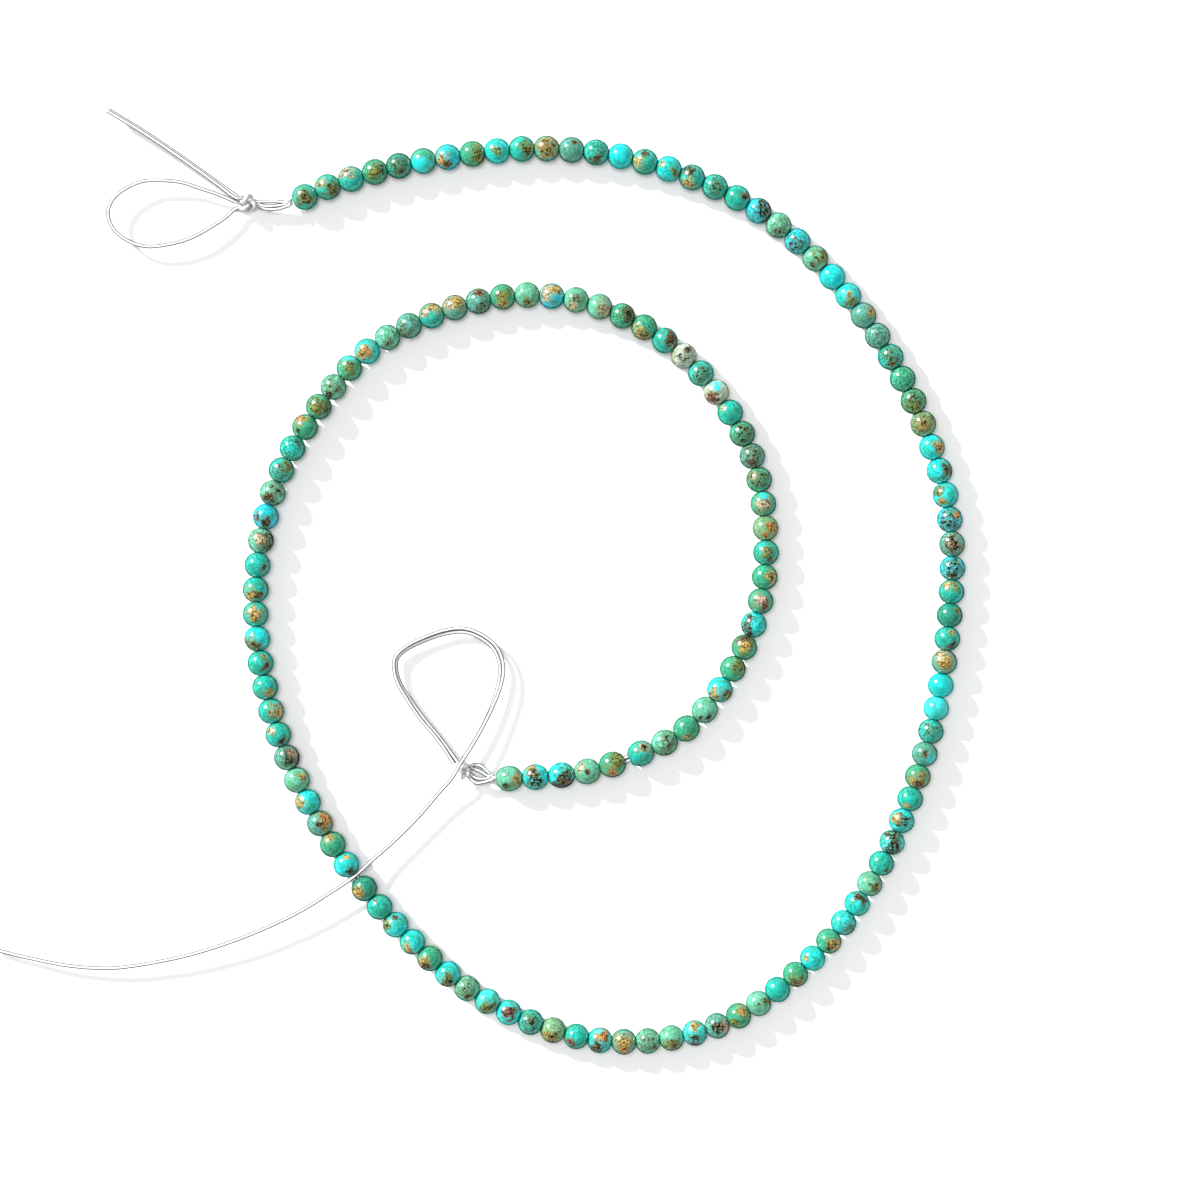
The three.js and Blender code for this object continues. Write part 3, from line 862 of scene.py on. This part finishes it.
class STRAND_OT_run_thread(bpy.types.Operator):
    """Runs the doubled thread through the beads"""

    bl_idname = "strand.run_thread"
    bl_label = "Run the thread through the beads"

    def execute(self, context):
        sizes = context.scene.strand_sizes
        track = string_track()
        lines = []
        for side in (-0.5, 0.5):
            line = []
            for k in range(INSIDE_STEPS + 1):
                place, way = track.at(track.length * k / INSIDE_STEPS)
                line.append(place + Vector((-way.y, way.x, 0.0)) * side * sizes.thread_width)
            lines.append(line)
        curve = thread_curve("thread_through_beads", lines, sizes.thread_width, nylon())
        piece = solid_copy(curve, "thread_through_beads")
        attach(piece, "root")
        return {"FINISHED"}


class STRAND_OT_lay_outer_thread(bpy.types.Operator):
    """Lays the outer loop and its two cut tails"""

    bl_idname = "strand.lay_outer_thread"
    bl_label = "Lay the outer loop and tails"

    def execute(self, context):
        sizes = context.scene.strand_sizes
        half = sizes.strand_pitch / 2
        half_height = math.sqrt((STRAND_EASE * sizes.thread_width / 2) ** 2 - half**2)
        tail = shifted(OUTER_TAIL_ROUTE, half, half_height)
        second_tail = shifted(OUTER_TAIL_ROUTE, -half, -half_height)
        line = centripetal_line([*OUTER_LOOP_ROUTE, *OUTER_KNOT_TURN, *tail], THREAD_PIECES)
        thread = thread_curve("outer_thread", [line], sizes.thread_width, nylon())
        second_line = centripetal_line(second_tail, TAIL_PIECES)
        second = thread_curve("outer_second_tail", [second_line], sizes.thread_width, nylon())
        for piece, nodes in (
            (thread, ("outer_loop_thread", "outer_tail_thread")),
            (second, ("outer_tail_second_thread",)),
        ):
            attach(piece, "root")
            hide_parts(*nodes)
        return {"FINISHED"}


class STRAND_OT_lay_inner_thread(bpy.types.Operator):
    """Lays the doubled inner loop and the long tail that crosses the beads"""

    bl_idname = "strand.lay_inner_thread"
    bl_label = "Lay the inner loop and tail"

    def execute(self, context):
        sizes = context.scene.strand_sizes
        line = centripetal_line(INNER_THREAD_ROUTE, THREAD_PIECES)
        second_line = centripetal_line(INNER_SECOND_ROUTE, THREAD_PIECES)
        thread = thread_curve("inner_thread", [line], sizes.thread_width, nylon())
        second = thread_curve("inner_second_thread", [second_line], sizes.thread_width, nylon())
        for piece, node in (
            (thread, "inner_loop_and_tail_thread"),
            (second, "inner_loop_second_thread"),
        ):
            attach(piece, "root")
            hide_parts(node)
        return {"FINISHED"}


def overhand(centre, half_size, turn, tilt):
    """A drawn-up overhand knot with three lobes, as a line in a box of half_size round centre."""
    line = []
    for k in range(KNOT_STEPS + 1):
        t = 2 * math.pi * k / KNOT_STEPS
        x = (math.sin(t) + 2 * math.sin(2 * t)) / KNOT_SPAN[0]
        y = (math.cos(t) - 2 * math.cos(2 * t)) / KNOT_SPAN[1]
        z = -math.sin(3 * t)
        line.append(Vector((x * half_size[0], y * half_size[1], z * half_size[2])))
    place = Matrix.Rotation(turn, 3, "Z") @ Matrix.Rotation(tilt, 3, "X")
    return [centre + place @ p for p in line]


class STRAND_OT_tie_knots(bpy.types.Operator):
    """Ties the stop knots and the loop knots at both ends"""

    bl_idname = "strand.tie_knots"
    bl_label = "Tie the knots"

    def execute(self, context):
        sizes = context.scene.strand_sizes
        for node, knots, bulges in KNOTS:
            low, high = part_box(node)
            centre, half = (low + high) / 2, (high - low) / 2
            room = [max(side - sizes.thread_width / 2, KNOT_ROOM) for side in half]
            lines = []
            for shrink, turn, tilt in knots:
                shrunk = [side * shrink for side in room]
                lines.append(overhand(centre, shrunk, math.radians(turn), math.radians(tilt)))
            for bulge in bulges:
                bulged = centripetal_line(bulge, THREAD_PIECES)
                lines.append([centre + point for point in bulged])
            curve = thread_curve(f"{node}_wraps", lines, sizes.thread_width, nylon())
            piece = solid_copy(curve, f"{node}_wraps")
            knotted = piece.data.attributes.new("is_knotted", "FLOAT", "POINT").data
            knotted.foreach_set("value", [1.0] * len(knotted))
            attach(piece, "root")
            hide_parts(node)
        return {"FINISHED"}


class STRAND_OT_bow_eyes(bpy.types.Operator):
    """Bows the strands of the small eyes between the knots"""

    bl_idname = "strand.bow_eyes"
    bl_label = "Bow the eyes"

    def execute(self, context):
        sizes = context.scene.strand_sizes
        for end, strands in (("outer", OUTER_EYE), ("inner", INNER_EYE)):
            nodes = [f"{end}_eye_left", f"{end}_eye_right"]
            stop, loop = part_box(f"{end}_stop_knot"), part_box(f"{end}_loop_knot")
            stop_height, loop_height = (stop[0].z + stop[1].z) / 2, (loop[0].z + loop[1].z) / 2
            lines = []
            for strand in strands:
                rise = (stop_height - loop_height) / (len(strand) - 1)
                lifted = [(x, y, loop_height + rise * k) for k, (x, y) in enumerate(strand)]
                lines.append(centripetal_line(lifted, EYE_PIECES))
            curve = thread_curve(f"{end}_eye", lines, sizes.thread_width, nylon())
            piece = solid_copy(curve, f"{end}_eye")
            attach(piece, "root")
            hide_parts(*nodes)
        return {"FINISHED"}


# The stage


def view_from_above(height):
    """The camera straight above the strand, which takes in the photo's frame at this height."""
    view = bpy.data.cameras.new("view_from_above")
    view.lens, view.sensor_width = VIEW_LENS, VIEW_SENSOR
    view.clip_start, view.clip_end = VIEW_CLIP
    camera = link(bpy.data.objects.new("view_from_above", view))
    camera.location = (*VIEW_MIDDLE, height + VIEW_WIDTH * VIEW_LENS / VIEW_SENSOR)
    return camera


def table_material(half_bead, stage):
    """The white table. Its reflection is painted: near black in a bead's polish close to the bead,
    which outlines the bead in painted shade, and a dimmer grey further off.
    """
    material = bpy.data.materials.new("white_table")
    material.use_nodes = True
    tree = material.node_tree
    shader = tree.nodes["Principled BSDF"]
    light_path = tree.nodes.new("ShaderNodeLightPath").outputs
    # Painted reflection: glossy rays see the white table near black close to a bead and dim grey
    # further off
    ends, starts = PAINTED_OUTLINE_ENDS * half_bead, TABLE_STARTS * half_bead
    further = ramp(tree, light_path["Ray Length"], ends, starts)
    painted_reflection = mixed(tree, further, PAINTED_OUTLINE_COLOUR, (*stage.floor_painted_reflection, 1.0))
    shade = mixed(tree, light_path["Is Glossy Ray"], (*stage.floor_colour, 1.0), painted_reflection)
    tree.links.new(shade, shader.inputs["Base Color"])
    shader.inputs["Roughness"].default_value = 0.9
    shader.inputs["Specular IOR Level"].default_value = 0.1
    return material


def table_top(material):
    """A flat table far wider than the strand."""
    mesh = bpy.data.meshes.new("table_top")
    corners = [(x * TABLE_REACH, y * TABLE_REACH, -TABLE_DROP) for x, y in TABLE_CORNERS]
    mesh.from_pydata(corners, [], [(0, 1, 2, 3)])
    mesh.materials.append(material)
    return link(bpy.data.objects.new("table_top", mesh))


def shine(name, strength, angle, side, is_in_gloss):
    """A distant light from one side, which shows as a highlight in the polish or doesn't."""
    sun = bpy.data.lights.new(name, "SUN")
    sun.energy, sun.angle = strength, math.radians(angle)
    light = link(bpy.data.objects.new(name, sun))
    light.rotation_mode = "QUATERNION"
    light.rotation_quaternion = side.to_track_quat("Z", "Y")
    light.visible_glossy = is_in_gloss


def soft_room(stage):
    """Even light from all round, dim in the polish so that the stones keep their colour."""
    world = bpy.data.worlds.new("soft_room")
    world.use_nodes = True
    tree = world.node_tree
    background = tree.nodes["Background"]
    background.inputs["Color"].default_value = (*stage.fill_colour, 1.0)
    seen_in_gloss = tree.nodes.new("ShaderNodeLightPath").outputs["Is Glossy Ray"]
    dimmed = times(tree, seen_in_gloss, stage.fill_strength - stage.gloss_strength)
    strength = maths(tree, "SUBTRACT", stage.fill_strength, dimmed)
    tree.links.new(strength, background.inputs["Strength"])
    return world


class STRAND_OT_set_stage(bpy.types.Operator):
    """Sets the camera straight above, the pale table and the lights"""

    bl_idname = "strand.set_stage"
    bl_label = "Set the stage"

    def execute(self, context):
        scene, stage = context.scene, context.scene.strand_stage
        half_bead = scene.strand_sizes.bead_width / 2
        scene.camera = view_from_above(half_bead)
        table = table_top(table_material(half_bead, stage))
        shine("key_light", stage.key_strength, KEY_ANGLE, KEY_FROM, is_in_gloss=True)
        shine("soft_light", stage.soft_strength, SOFT_ANGLE, SOFT_FROM, is_in_gloss=False)
        scene.world = soft_room(stage)
        scene.view_settings.view_transform = "Standard"
        return {"FINISHED"}


class STRAND_PT_panel(bpy.types.Panel):
    """Lists the steps that make the strand"""

    bl_idname = "STRAND_PT_panel"
    bl_label = "Bead strand"
    bl_space_type = "VIEW_3D"
    bl_region_type = "UI"
    bl_category = "Bead strand"

    def draw(self, context):
        for step in STEPS:
            self.layout.operator(step.bl_idname)
        scene = context.scene
        for group in (scene.strand_sizes, scene.stone_colours, scene.strand_stage):
            box = self.layout.box()
            for name in group.bl_rna.properties.keys():
                if name not in ("rna_type", "name"):
                    box.prop(group, name)


STEPS = (
    STRAND_OT_set_stage,
    STRAND_OT_tie_knots,
    STRAND_OT_bow_eyes,
    STRAND_OT_lay_outer_thread,
    STRAND_OT_lay_inner_thread,
    STRAND_OT_string_beads,
    STRAND_OT_run_thread,
)
GROUPS = (StrandSizes, StoneColours, StageSettings)


def register():
    for kind in (*GROUPS, *STEPS, STRAND_PT_panel):
        bpy.utils.register_class(kind)
    bpy.types.Scene.strand_sizes = PointerProperty(type=StrandSizes)
    bpy.types.Scene.stone_colours = PointerProperty(type=StoneColours)
    bpy.types.Scene.strand_stage = PointerProperty(type=StageSettings)


def unregister():
    del bpy.types.Scene.strand_stage
    del bpy.types.Scene.stone_colours
    del bpy.types.Scene.strand_sizes
    for kind in reversed((*GROUPS, *STEPS, STRAND_PT_panel)):
        bpy.utils.unregister_class(kind)


def main():
    register()
    bpy.ops.strand.set_stage()
    bpy.ops.strand.tie_knots()
    bpy.ops.strand.bow_eyes()
    bpy.ops.strand.lay_outer_thread()
    bpy.ops.strand.lay_inner_thread()
    bpy.ops.strand.string_beads()
    bpy.ops.strand.run_thread()


if __name__ == "__main__":
    main()
